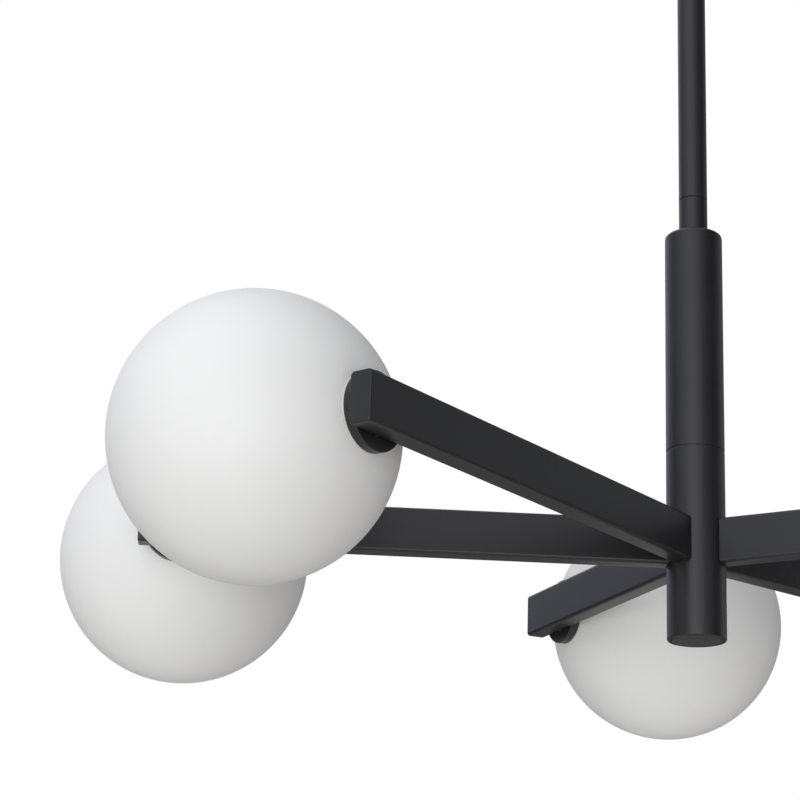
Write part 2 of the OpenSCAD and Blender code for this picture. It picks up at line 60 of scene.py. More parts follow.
MM = 0.001
ARMS = range(1, 6)
JOINTS = {joint["name"]: joint for joint in frame["joints"]}
MOUNTS = {mount["name"]: mount for mount in frame["record"]["mounts"]}
UP = Vector((0, 0, 1))


def mm(*values):
    """Lengths in metres from millimetres."""
    return [value * MM for value in values]


# Finishes, named as the CAD's material slots are
COAT, ZINC, BRASS, SHEATH = "black_powder_coat", "zinc_plated_steel", "brass", "lead_sheath"
GLASS, CAPSULE, PLASTIC, PAPER = "opal_glass", "capsule_glass", "terminal_plastic", "floor"
# Edge radii of small turned, bent and moulded pieces, and the angle past which an edge is sharp
CRISP, EASED, SOFT, ROUND = mm(0.2, 0.3, 0.4, 0.6)
SHARP = 35
# The clear hole for a 10 mm nipple, the depth of its thread, and the nuts that fit it
NIPPLE_HOLE, NIPPLE_THREAD, NUT_FLATS = mm(5.05, 0.5, 17)
# How far a cutter stands past what it cuts
PAST = 1 * MM


# ---- Colours and sizes that a user may change ----

def linear(code):
    """A colour from its sRGB hex code, in linear light."""
    parts = [int(code[at:at + 2], 16) / 255 for at in (1, 3, 5)]
    return tuple(c / 12.92 if c <= 0.04045 else ((c + 0.055) / 1.055) ** 2.4 for c in parts)


def shade(label, about, code):
    return FloatVectorProperty(name=label, description=about, subtype="COLOR", size=3,
                               min=0, max=1, default=linear(code))


def length(label, about, millimetres):
    return FloatProperty(name=label, description=about, subtype="DISTANCE", unit="LENGTH",
                         min=0, default=millimetres * MM, precision=5)


class ChandelierColours(bpy.types.PropertyGroup):
    coat: shade("Powder coat", "Matt black coat on rod, column, bars and canopy", "#19191b")
    opal: shade("Opal glass", "Etched opal glass of the globes", "#e8e8e7")
    zinc: shade("Zinc plate", "Plated bracket, nuts and screws", "#b4b8bc")
    brass: shade("Brass", "Turned nipples, plug and terminal screws", "#b98f4e")
    quartz: shade("Frosted quartz", "Envelope of the lamp capsules", "#eeece4")
    steatite: shade("Steatite", "Unglazed ceramic of the lamp holders", "#e4e0d4")
    polyamide: shade("Polyamide", "Moulded terminal block and insert", "#e6e3da")
    silicone: shade("Silicone", "Seal between cup and glass", "#cfcabb")
    sheath: shade("Sheath", "Rubber sheath of the leads", "#19191a")
    live: shade("Live core", "Brown insulation", "#5d3420")
    neutral: shade("Neutral core", "Blue insulation", "#2b63a6")
    earth: shade("Earth core", "Green ground of the striped insulation", "#2f8a3f")
    stripe: shade("Earth stripe", "Yellow stripe on the green insulation", "#e6cf3c")
    paper: shade("Paper", "Background roll under the lamp", "#ece9e4")


class ChandelierSizes(bpy.types.PropertyGroup):
    fine_edge: length("Fine edge", "Radius on the turned ends of rods and tubes", 0.3)
    seam_edge: length("Seam edge", "Radius on the hub's side of the column's seam", 0.5)
    seam_wide: length("Seam width", "Height of the shadow groove round the column's seam", 0.6)
    seam_deep: length("Seam depth", "Depth of the shadow groove round the column's seam", 0.4)
    hub_edge: length("Hub edge", "Radius round the hub's lower edge", 1.5)
    hub_lip: length("Hub lip", "Radius inside the hub's lower edge", 0.6)
    cap_gap: length("Cap gap", "Gap round the disc in the hub's lower end", 0.3)
    cap_thick: length("Cap thickness", "Thickness of the disc in the hub's lower end", 2.5)
    barrel_edge: length("Barrel edge", "Radius round the barrel's top", 2.5)
    arm_edge: length("Arm edge", "Radius of a bar's long edges", 2.0)
    arm_wall: length("Arm wall", "Wall of a bar's tube", 1.5)
    arm_foot: length("Arm foot", "Radius round a bar's end on the hub", 0.9)
    plug_edge: length("Plug edge", "Radius round the plate in a bar's end", 0.6)
    tube_wall: length("Column wall", "Wall of barrel and hub", 2.0)
    glass_wall: length("Glass wall", "Thickness of a globe", 3.0)
    glass_neck: length("Glass neck", "Radius of a globe's neck over its thread", 16.8)
    glass_bore: length("Glass bore", "Radius inside a globe's neck", 14.8)
    glass_ridge: length("Glass ridge", "Height of the thread on a globe's neck", 0.7)
    cup_wall: length("Cup wall", "Wall of a fitter cup", 2.0)
    cup_floor: length("Cup floor", "Floor of a fitter cup", 1.2)
    seal_bore: length("Seal bore", "Radius inside a silicone seal", 16.95)
    glass_pitch: length("Glass thread pitch", "Rise of a globe's thread in one turn", 3.0)
    metal_pitch: length("Metal thread pitch", "Rise of the fine thread on the nipples", 1.0)
    canopy_edge: length("Canopy edge", "Radius round the canopy's lower edge", 4.0)
    canopy_wall: length("Canopy wall", "Thickness of the canopy's sheet", 1.2)
    segments: IntProperty(name="Segments", description="Steps round a turned piece",
                          default=128, min=24, max=256)


def colours():
    return bpy.context.scene.chandelier_colours


def sizes():
    return bpy.context.scene.chandelier_sizes


# ---- Measures taken from the frame ----

def span(node, direction):
    """How far a CAD node reaches along a direction, low and high, in metres."""
    reach = [vertex.co.dot(direction) for vertex in frame["nodes"][node].data.vertices]
    return min(reach), max(reach)


def radius(node):
    low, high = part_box(node)
    return (high.x - low.x) / 2


def half_height(node):
    """Radius of a round node that lies on its side."""
    low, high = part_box(node)
    return (high.z - low.z) / 2


def middle_x(node):
    low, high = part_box(node)
    return (low.x + high.x) / 2


def placed(origin, x, y, z):
    grid = Matrix((x, y, z)).transposed().to_4x4()
    grid.translation = origin
    return grid


class Arm:
    """Directions and places of one bar: out along it, out of its side to the globe, and up."""

    def __init__(self, number):
        self.side = Vector(JOINTS[f"globe_{number}_travel"]["axis"]).normalized()
        self.out = self.side.cross(UP) * -1
        self.level = Vector(JOINTS[f"globe_{number}_unscrew"]["pos_m"])
        self.root = Vector((0, 0, self.level.z))
        self.reach = self.level.dot(self.out)
        self.centre = (self.level - self.root).dot(self.side)
        self.end = span(f"end_plug_{number}", self.out)[1]

    def along(self):
        """X out along the bar, Y to its left and Z up, from the column's axis."""
        return placed(self.root, self.out, UP.cross(self.out), UP)

    def fitter(self):
        """Z to the globe and Y up, from the bar's centre line under the globe."""
        return placed(self.root + self.out * self.reach, self.out, UP, self.side)


# ---- Materials ----

def add(tree, kind, inputs=None, **settings):
    """Adds a node with its settings; an input takes a value or another node's output."""
    node = tree.nodes.new(kind)
    for name, value in settings.items():
        setattr(node, name, value)
    for name, value in (inputs or {}).items():
        if isinstance(value, bpy.types.NodeSocket):
            tree.links.new(value, node.inputs[name])
        else:
            node.inputs[name].default_value = value
    return node


def blank(name):
    material = bpy.data.materials.new(name)
    material.use_nodes = True
    tree = material.node_tree
    tree.nodes.clear()
    return material, tree, add(tree, "ShaderNodeTexCoord").outputs["Object"]


def tinted(colour, share):
    return (*[min(1, c * share) for c in colour], 1)


def grained(tree, place, grain_mm, low=0, high=1, start=0.3, end=0.7, detail=2):
    """Grains of this real size: their raw value, and the same spread between two limits."""
    raw = add(tree, "ShaderNodeTexNoise",
              {"Vector": place, "Scale": 1 / (grain_mm * MM), "Detail": detail}).outputs[0]
    spread = add(tree, "ShaderNodeMapRange", {"Value": raw, "From Min": start, "From Max": end,
                                              "To Min": low, "To Max": high}).outputs[0]
    return raw, spread


def mottled(tree, place, cloud_mm, colour, dark, light, detail=1):
    """Clouds of this real size: their raw value, and a colour between two shares of itself."""
    raw, share = grained(tree, place, cloud_mm, detail=detail)
    mix = add(tree, "ShaderNodeMix", {"Factor": share, 6: tinted(colour, dark),
                                      7: tinted(colour, light)}, data_type="RGBA")
    return raw, mix.outputs[2]


def surface(tree, height, strength, deep_mm, inputs, under=None):
    """Ends a material: a relief of this real depth, over another if given, and its shader."""
    relief = {"Height": height, "Strength": strength, "Distance": deep_mm * MM}
    if under:
        relief["Normal"] = under
    normal = add(tree, "ShaderNodeBump", relief).outputs[0]
    shader = add(tree, "ShaderNodeBsdfPrincipled", {**inputs, "Normal": normal})
    add(tree, "ShaderNodeOutputMaterial", {"Surface": shader.outputs[0]})


def powder_coat():
    # Polyester powder coat, sprayed and baked on steel: matt, with orange peel about 1.6 mm across
    # and a fine sandy grain. The real grain is near 0.1 mm; drawn at 0.5 mm so that it shows.
    material, tree, place = blank("powder_coat_matt_black")
    peel = add(tree, "ShaderNodeTexNoise", {"Vector": place, "Scale": 1 / (1.6 * MM), "Detail": 1})
    flow = add(tree, "ShaderNodeBump",
               {"Height": peel.outputs[0], "Strength": 0.25, "Distance": 0.06 * MM})
    grain, rough = grained(tree, place, 0.5, 0.32, 0.40)
    _, tone = mottled(tree, place, 45, colours().coat, 0.93, 1.08)
    surface(tree, grain, 0.35, 0.03, {"Base Color": tone, "Roughness": rough, "IOR": 1.5},
            flow.outputs[0])
    return material


def opal_glass():
    # Opal glass, mouth-blown in a mould and acid-etched outside: light scatters in its white body
    # and the etched skin has no clear gloss. The etch is far finer than a pixel, drawn at 0.6 mm.
    material, tree, place = blank("opal_glass_etched")
    etch, rough = grained(tree, place, 0.6, 0.5, 0.6)
    _, tone = mottled(tree, place, 60, colours().opal, 0.985, 1.0)
    surface(tree, etch, 0.12, 0.02,
            {"Base Color": tone, "Roughness": rough, "IOR": 1.52, "Subsurface Weight": 0.35,
             "Subsurface Radius": (1.0, 0.9, 0.75), "Subsurface Scale": 3 * MM})
    return material


def zinc_plate():
    # Steel, rolled and zinc plated: bright, with faint spangle and fine rolling marks along X.
    # Rolling marks are near 0.05 mm; they are drawn 0.3 mm wide so that they show.
    material, tree, place = blank("zinc_plated_steel")
    colour = colours().zinc
    along = add(tree, "ShaderNodeMapping", {"Vector": place, "Scale": (0.06, 1, 1)}).outputs[0]
    marks, rough = grained(tree, along, 0.3, 0.26, 0.42, detail=3)
    _, spangle = grained(tree, place, 5, detail=1)
    bluish = (colour[0] * 0.98, colour[1], colour[2] * 1.05, 1)
    tone = add(tree, "ShaderNodeMix", {"Factor": spangle, 6: tinted(colour, 0.9), 7: bluish},
               data_type="RGBA").outputs[2]
    surface(tree, marks, 0.3, 0.02, {"Base Color": tone, "Metallic": 1.0, "Roughness": rough})
    return material


def turned_brass():
    # Brass bar, turned on a lathe and left plain: feed marks run round the axis. The real feed is
    # about 0.1 mm; it is drawn at 0.6 mm. A little tarnish dulls it in patches of 7 mm. A wave's
    # bands repeat each 2 pi / 20 of its own units.
    material, tree, place = blank("brass_turned")
    feed = add(tree, "ShaderNodeTexWave",
               {"Vector": place, "Scale": 2 * pi / 20 / (0.592 * MM), "Distortion": 0.4},
               wave_type="BANDS", bands_direction="Z")
    tarnish, tone = mottled(tree, place, 7, colours().brass, 0.78, 1.0, detail=3)
    rough = add(tree, "ShaderNodeMapRange", {"Value": tarnish, "From Min": 0.3, "From Max": 0.7,
                                             "To Min": 0.38, "To Max": 0.24})
    surface(tree, feed.outputs[1], 0.2, 0.02,
            {"Base Color": tone, "Metallic": 1.0, "Roughness": rough.outputs[0]})
    return material


def frosted_quartz():
    # Quartz capsule, pressed at its foot and frosted inside: clear body, soft white look. The
    # frost is drawn at 0.4 mm so that it shows.
    material, tree, place = blank("quartz_frosted")
    _, rough = grained(tree, place, 0.4, 0.3, 0.5)
    press = add(tree, "ShaderNodeTexNoise", {"Vector": place, "Scale": 1 / (3 * MM), "Detail": 1})
    surface(tree, press.outputs[0], 0.2, 0.1,
            {"Base Color": (*colours().quartz, 1), "IOR": 1.46, "Transmission Weight": 0.55,
             "Roughness": rough})
    return material


def steatite():
    # Steatite, dry pressed and fired unglazed: chalky, with dark specks about 0.3 mm across.
    material, tree, place = blank("steatite_unglazed")
    colour = colours().steatite
    body, dusty = mottled(tree, place, 4, colour, 0.94, 1.0, detail=3)
    _, speck = grained(tree, place, 0.3, 0, 0.4, 0.66, 0.72, detail=1)
    tone = add(tree, "ShaderNodeMix", {"Factor": speck, 6: dusty, 7: tinted(colour, 0.45)},
               data_type="RGBA").outputs[2]
    surface(tree, body, 0.25, 0.08, {"Base Color": tone, "Roughness": 0.62, "IOR": 1.6})
    return material


def moulded(name, colour, rough, texture_mm, soft=0.0):
    """Moulded or extruded plastic or rubber: the tool's fine texture, a slight cloud of colour."""
    material, tree, place = blank(name)
    _, tone = mottled(tree, place, 12, colour, 0.94, 1.03, detail=2)
    tool, rough = grained(tree, place, texture_mm, rough - 0.05, rough + 0.06)
    surface(tree, tool, 0.25, 0.03,
            {"Base Color": tone, "Roughness": rough, "IOR": 1.5, "Subsurface Weight": soft,
             "Subsurface Radius": (1.0, 0.8, 0.5), "Subsurface Scale": 1 * MM})
    return material


def striped_core():
    # Earth core: green PVC, extruded, with yellow stripes that slant over it and repeat each
    # 13.8 mm. A wave's slanting bands repeat each 2 pi / 10 of its own units.
    material, tree, place = blank("pvc_core_earth")
    wave = add(tree, "ShaderNodeTexWave",
               {"Vector": place, "Scale": 2 * pi / 10 / (13.8 * MM), "Distortion": 0.0},
               wave_type="BANDS", bands_direction="DIAGONAL")
    edge = add(tree, "ShaderNodeMapRange",
               {"Value": wave.outputs[1], "From Min": 0.52, "From Max": 0.58})
    tone = add(tree, "ShaderNodeMix", {"Factor": edge.outputs[0], 6: (*colours().earth, 1),
                                       7: (*colours().stripe, 1)}, data_type="RGBA").outputs[2]
    shader = add(tree, "ShaderNodeBsdfPrincipled",
                 {"Base Color": tone, "Roughness": 0.4, "IOR": 1.5})
    add(tree, "ShaderNodeOutputMaterial", {"Surface": shader.outputs[0]})
    return material


def paper_roll():
    # Paper background roll: plain, pale and matt, with a faint tooth of about 2 mm
    material, tree, place = blank("paper_roll_white")
    tooth = add(tree, "ShaderNodeTexNoise", {"Vector": place, "Scale": 1 / (2 * MM), "Detail": 2})
    surface(tree, tooth.outputs[0], 0.1, 0.1,
            {"Base Color": (*colours().paper, 1), "Roughness": 0.9})
    return material


FINISHES = {
    COAT: powder_coat,
    GLASS: opal_glass,
    ZINC: zinc_plate,
    BRASS: turned_brass,
    CAPSULE: frosted_quartz,
    PAPER: paper_roll,
    "holder_ceramic": steatite,
    # Polyamide, injection moulded with a fine spark-eroded texture of about 0.4 mm
    PLASTIC: lambda: moulded("polyamide_moulded", colours().polyamide, 0.45, 0.4, 0.1),
    # Silicone rubber, moulded: pale and slightly see-through, so light bleeds in it
    "silicone": lambda: moulded("silicone_pale_yellow", colours().silicone, 0.4, 0.5, 0.5),
    # Rubber sheath, extruded: matt black with a faint skin of about 0.3 mm
    SHEATH: lambda: moulded("rubber_sheath_black", colours().sheath, 0.55, 0.3),
    # PVC insulation, extruded smooth
    "live_core": lambda: moulded("pvc_core_live", colours().live, 0.38, 0.3),
    "neutral_core": lambda: moulded("pvc_core_neutral", colours().neutral, 0.38, 0.3),
    "earth_core": striped_core,
}


@cache
def finish(name):
    return FINISHES[name]()


# ---- Meshes ----

def linked(name, mesh):
    obj = bpy.data.objects.new(name, mesh)
    bpy.context.scene.collection.objects.link(obj)
    return obj


def piece(name, points, faces, finish_name, sharp=SHARP):
    """A mesh object with its finish, faces outwards, smooth but for edges past this angle."""
    mesh = bpy.data.meshes.new(name)
    mesh.from_pydata([tuple(p) for p in points], [], faces)
    mesh.validate()
    mesh.materials.append(finish(finish_name))
    outwards(mesh)
    smooth(mesh, sharp)
    return linked(name, mesh)


def outwards(mesh, weld=1e-6):
    """Merges doubles and turns all faces outwards."""
    work = bmesh.new()
    work.from_mesh(mesh)
    bmesh.ops.remove_doubles(work, verts=work.verts, dist=weld)
    bmesh.ops.recalc_face_normals(work, faces=work.faces)
    work.to_mesh(mesh)
    work.free()


def smooth(mesh, sharp=SHARP):
    mesh.polygons.foreach_set("use_smooth", [True] * len(mesh.polygons))
    mesh.set_sharp_from_angle(angle=radians(sharp))


def bake(obj):
    """Turns the object and its modifiers into a plain mesh."""
    graph = bpy.context.evaluated_depsgraph_get()
    result = bpy.data.meshes.new_from_object(obj.evaluated_get(graph))
    result.name = obj.name
    obj.modifiers.clear()
    obj.data = result
    return obj


def even(obj):
    """Shades flat faces flat beside small round edges."""
    obj.modifiers.new("even", "WEIGHTED_NORMAL").keep_sharp = True
    return bake(obj)


def drill(obj, *cutters):
    """Cuts other objects out of this one and removes them."""
    for cutter in cutters:
        cut = obj.modifiers.new("cut", "BOOLEAN")
        cut.object, cut.operation, cut.solver = cutter, "DIFFERENCE", "EXACT"
        bake(obj)
        bpy.data.objects.remove(cutter)
    smooth(obj.data)
    return obj


def ride(obj, body, slot, *nodes):
    """Fixes a finished piece to its body and hides the CAD nodes it stands for; its finish slot is not used."""
    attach(obj, body)
    if nodes:
        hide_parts(*nodes)


def rounded(corners, steps=6):
    """A closed outline of (x, y, radius) corners with each corner rounded."""
    outline = []
    for at, (x, y, r) in enumerate(corners):
        here = Vector((x, y))
        back = Vector(corners[at - 1][:2]) - here
        ahead = Vector(corners[(at + 1) % len(corners)][:2]) - here
        if r < 1e-7:
            outline.append((x, y))
            continue
        half = acos(max(-1, min(1, back.normalized().dot(ahead.normalized())))) / 2
        reach = min(r / tan(half), back.length * 0.499, ahead.length * 0.499)
        r = reach * tan(half)
        middle = here + (back.normalized() + ahead.normalized()).normalized() * (r / sin(half))
        first = here + back.normalized() * reach - middle
        last = here + ahead.normalized() * reach - middle
        turn = first.angle_signed(last)
        for step in range(steps + 1):
            c, s = cos(-turn * step / steps), sin(-turn * step / steps)
            outline.append((middle.x + first.x * c - first.y * s,
                            middle.y + first.x * s + first.y * c))
    return outline


def turned(name, corners, finish_name, place=Matrix(), steps=6, around=None):
    """A piece turned on a lathe: a closed outline of (radius, height, edge radius) spun about Z."""
    around = around or sizes().segments
    points, rows = [], []
    for r, z in rounded(corners, steps):
        count = 1 if r < 1e-6 else around
        rows.append([len(points) + k for k in range(count)])
        turns = [2 * pi * k / count for k in range(count)]
        points += [place @ Vector((r * cos(a), r * sin(a), z)) for a in turns]
    faces = []
    for one, two in zip(rows, rows[1:] + rows[:1]):
        if len(one) == len(two) == 1:
            continue
        for k in range(around):
            quad = [one[k % len(one)], one[(k + 1) % len(one)],
                    two[(k + 1) % len(two)], two[k % len(two)]]
            faces.append(list(dict.fromkeys(quad)))
    return even(piece(name, points, faces, finish_name))


def plug(name, r, low, high, finish_name, place=Matrix(), edges=(0, 0), around=48):
    """A solid round bar from low to high, with an edge radius at each end."""
    return turned(name, [(0, low, 0), (r, low, edges[0]), (r, high, edges[1]), (0, high, 0)],
                  finish_name, place, around=around)


def lofted(name, loops, finish_name, place=Matrix(), ring=False, sharp=SHARP):
    """A skin over loops of equal count; its two ends are closed, or joined where it is a ring."""
    count = len(loops[0])
    points = [place @ Vector(p) for loop in loops for p in loop]
    faces = []
    pairs = list(range(len(loops) - 1)) + ([len(loops) - 1] if ring else [])
    for row in pairs:
        a, b = row * count, (row + 1) % len(loops) * count
        faces += [(a + k, a + (k + 1) % count, b + (k + 1) % count, b + k) for k in range(count)]
    if not ring:
        faces += [tuple(range(count)), tuple(range(len(points) - count, len(points)))[::-1]]
    return even(piece(name, points, faces, finish_name, sharp))


def box_loop(width, height, edge, inset=0.0, steps=6):
    """A rounded rectangle, centred, with the same count of points whatever its inset."""
    w, h, r = width / 2 - inset, height / 2 - inset, max(edge - inset, 0.05 * MM)
    return rounded([(w, -h, r), (w, h, r), (-w, h, r), (-w, -h, r)], steps)


def join(name, *objs):
    """Joins plain mesh objects into one, in the order given."""
    work, materials = bmesh.new(), []
    for obj in objs:
        start, material = len(work.faces), obj.data.materials[0]
        work.from_mesh(obj.data)
        work.faces.ensure_lookup_table()
        if material not in materials:
            materials.append(material)
        for face in work.faces[start:]:
            face.material_index = materials.index(material)
    mesh = bpy.data.meshes.new(name)
    work.to_mesh(mesh)
    work.free()
    for material in materials:
        mesh.materials.append(material)
    for obj in objs:
        bpy.data.objects.remove(obj)
    return linked(name, mesh)


# ---- Geometry Nodes ----

def node_group(name, inputs):
    """An empty geometry tree with named inputs: (name, socket type, default)."""
    tree = bpy.data.node_groups.new(name, "GeometryNodeTree")
    for label, kind, default in [("Geometry", "NodeSocketGeometry", None), *inputs,
                                 ("Material", "NodeSocketMaterial", None)]:
        socket = tree.interface.new_socket(label, in_out="INPUT", socket_type=kind)
        if default is not None:
            socket.default_value = default
    tree.interface.new_socket("Geometry", in_out="OUTPUT", socket_type="NodeSocketGeometry")
    return tree, add(tree, "NodeGroupInput").outputs


def end_tree(tree, geometry, material):
    """Realizes instances and sets the finish, as every tree here ends."""
    real = add(tree, "GeometryNodeRealizeInstances", {"Geometry": geometry})
    coated = add(tree, "GeometryNodeSetMaterial",
                 {"Geometry": real.outputs[0], "Material": material})
    add(tree, "NodeGroupOutput", {"Geometry": coated.outputs[0]})
    return tree


def grow(name, tree, values, finish_name, points=((0, 0, 0),), edges=(), place=Matrix()):
    """Runs a geometry tree on a small mesh and keeps its result as a plain mesh."""
    mesh = bpy.data.meshes.new(name)
    mesh.from_pydata([tuple(p) for p in points], list(edges), [])
    obj = linked(name, mesh)
    modifier = obj.modifiers.new(name, "NODES")
    modifier.node_group = tree
    sockets = {s.name: s.identifier for s in tree.interface.items_tree if s.in_out == "INPUT"}
    for label, value in {**values, "Material": finish(finish_name)}.items():
        modifier[sockets[label]] = value
    bake(obj)
    obj.data.transform(place)
    outwards(obj.data)
    smooth(obj.data)
    return obj


@cache
def thread_tree():
    """A ridge that winds round Z: a screw thread of any pitch and length."""
    tree, given = node_group("Screw thread", [
        ("Radius", "NodeSocketFloat", 4.5 * MM), ("Pitch", "NodeSocketFloat", 1 * MM),
        ("Turns", "NodeSocketFloat", 5.0), ("Ridge", "NodeSocketFloat", 0.5 * MM),
        ("Sides", "NodeSocketInt", 4), ("Steps", "NodeSocketInt", 48)])
    rise = add(tree, "ShaderNodeMath", {0: given["Pitch"], 1: given["Turns"]},
               operation="MULTIPLY")
    winding = add(tree, "GeometryNodeCurveSpiral",
                  {"Resolution": given["Steps"], "Rotations": given["Turns"],
                   "Start Radius": given["Radius"], "End Radius": given["Radius"],
                   "Height": rise.outputs[0], "Reverse": False})
    upright = add(tree, "GeometryNodeSetCurveNormal", {"Curve": winding.outputs[0]}, mode="Z_UP")
    ridge = add(tree, "GeometryNodeCurvePrimitiveCircle",
                {"Resolution": given["Sides"], "Radius": given["Ridge"]})
    skin = add(tree, "GeometryNodeCurveToMesh",
               {"Curve": upright.outputs[0], "Profile Curve": ridge.outputs[0], "Fill Caps": True})
    return end_tree(tree, skin.outputs[0], given["Material"])


@cache
def lead_tree():
    """A round lead along the line of the mesh it runs on."""
    tree, given = node_group("Lead", [
        ("Diameter", "NodeSocketFloat", 4 * MM), ("Sides", "NodeSocketInt", 24)])
    line = add(tree, "GeometryNodeMeshToCurve", {"Mesh": given["Geometry"]})
    half = add(tree, "ShaderNodeMath", {0: given["Diameter"], 1: 0.5}, operation="MULTIPLY")
    ring = add(tree, "GeometryNodeCurvePrimitiveCircle",
               {"Resolution": given["Sides"], "Radius": half.outputs[0]})
    skin = add(tree, "GeometryNodeCurveToMesh",
               {"Curve": line.outputs[0], "Profile Curve": ring.outputs[0], "Fill Caps": True})
    return end_tree(tree, skin.outputs[0], given["Material"])


@cache
def tooth_tree():
    """Twisted teeth set round a washer."""
    tree, given = node_group("Washer teeth", [
        ("Radius", "NodeSocketFloat", 8 * MM), ("Count", "NodeSocketInt", 12),
        ("Tooth", "NodeSocketVector", (4 * MM, 2.6 * MM, 0.7 * MM)),
        ("Twist", "NodeSocketFloat", 0.3)])
    ring = add(tree, "GeometryNodeMeshCircle",
               {"Vertices": given["Count"], "Radius": given["Radius"]})
    bar = add(tree, "GeometryNodeMeshCube", {"Size": given["Tooth"]})
    index = add(tree, "GeometryNodeInputIndex")
    share = add(tree, "ShaderNodeMath", {0: index.outputs[0], 1: given["Count"]},
                operation="DIVIDE")
    angle = add(tree, "ShaderNodeMath", {0: share.outputs[0], 1: 2 * pi}, operation="MULTIPLY")
    turn = add(tree, "ShaderNodeCombineXYZ", {"X": given["Twist"], "Z": angle.outputs[0]})
    teeth = add(tree, "GeometryNodeInstanceOnPoints",
                {"Points": ring.outputs[0], "Instance": bar.outputs[0],
                 "Rotation": turn.outputs[0]})
    return end_tree(tree, teeth.outputs[0], given["Material"])


def thread(name, finish_name, place, low, high, crest, pitch, ridge, sides=4, steps=36):
    """A thread from low to high round Z of a place, its crest at this radius."""
    return grow(name, thread_tree(),
                {"Radius": crest - ridge, "Pitch": pitch, "Turns": (high - low) / pitch,
                 "Ridge": ridge, "Sides": sides, "Steps": steps},
                finish_name, place=place @ Matrix.Translation((0, 0, low)))


def lead(name, path, diameter, finish_name, sides=24):
    return grow(name, lead_tree(), {"Diameter": diameter, "Sides": sides}, finish_name,
                path, [(k, k + 1) for k in range(len(path) - 1)])


def bend(points, bend_r, steps=8):
    """A path with each inner corner turned into an arc."""
    path = [Vector(points[0])]
    for before, here, after in zip(points, points[1:], points[2:]):
        here = Vector(here)
        back, ahead = (Vector(before) - here).normalized(), (Vector(after) - here).normalized()
        half = back.angle(ahead) / 2
        start, end = here + back * (bend_r / tan(half)), here + ahead * (bend_r / tan(half))
        centre = here + (back + ahead).normalized() * (bend_r / sin(half))
        axis = (start - centre).cross(end - centre).normalized()
        for k in range(steps + 1):
            turn = Matrix.Rotation((pi - 2 * half) * k / steps, 3, axis)
            path.append(centre + turn @ (start - centre))
    return path + [Vector(points[-1])]


# ---- Operators: one for each piece or group of like pieces ----

class Builder:
    """What the operators share."""
    bl_options = {"REGISTER", "UNDO"}

    def execute(self, context):
        self.build(sizes())
        return {"FINISHED"}


def hollow_nipple(name, node, pitch):
    """A turned brass tube with a fine thread from end to end."""
    low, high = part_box(node)
    crest, bore, runout = radius(node), 3.5 * MM, 0.6 * MM
    root = crest - NIPPLE_THREAD
    core = turned(f"{name}_core", [(bore, low.z, 0), (root, low.z, EASED), (root, high.z, EASED),
                                   (bore, high.z, 0)], BRASS, around=48)
    ridge = thread(f"{name}_thread", BRASS, Matrix(), low.z + runout, high.z - runout, crest,
                   pitch, NIPPLE_THREAD)
    ride(join(name, core, ridge), "ceiling_set", BRASS, node)


class CHANDELIER_OT_rods(Builder, bpy.types.Operator):
    """Two rod sections with bushed ends, and the threaded nipples that hold them"""
    bl_idname = "chandelier.rods"
    bl_label = "Rods"

    def build(self, s):
        bush, bore = mm(15, 6.5)
        for name in ("upper_rod", "lower_rod"):
            low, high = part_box(name)
            r = radius(name)
            rod = turned(f"{name}_tube", [
                (NIPPLE_HOLE, low.z, SOFT), (r, low.z, s.fine_edge), (r, high.z, s.fine_edge),
                (NIPPLE_HOLE, high.z, SOFT), (NIPPLE_HOLE, high.z - bush, 0),
                (bore, high.z - bush, 0), (bore, low.z + bush, 0),
                (NIPPLE_HOLE, low.z + bush, 0)], COAT)
            ride(rod, "ceiling_set", COAT, name)
        for node in ("top_nipple", "rod_coupler", "swivel_stud"):
            hollow_nipple(f"{node}_brass", node, s.metal_pitch)


def hexagon(name, low, high, flats, bore, finish_name, place=Matrix()):
    """A hexagon nut with both rims chamfered, so that each flat ends in an arc."""
    around, slope, chamfer = 96, tan(radians(30)), 0.5 * MM
    rim = flats / 2 - CRISP
    loops = [[] for _ in range(8)]
    for k in range(around):
        angle = 2 * pi * k / around
        reach = flats / 2 / cos((angle + pi / 6) % (pi / 3) - pi / 6)
        drop = max(0, reach - rim) * slope
        profile = ((bore + chamfer, low), (rim, low), (reach, low + drop), (reach, high - drop),
                   (rim, high), (bore + chamfer, high), (bore, high - chamfer),
                   (bore, low + chamfer))
        for loop, (r, z) in zip(loops, profile):
            loop.append((r * cos(angle), r * sin(angle), z))
    return lofted(name, loops, finish_name, place, ring=True, sharp=25)


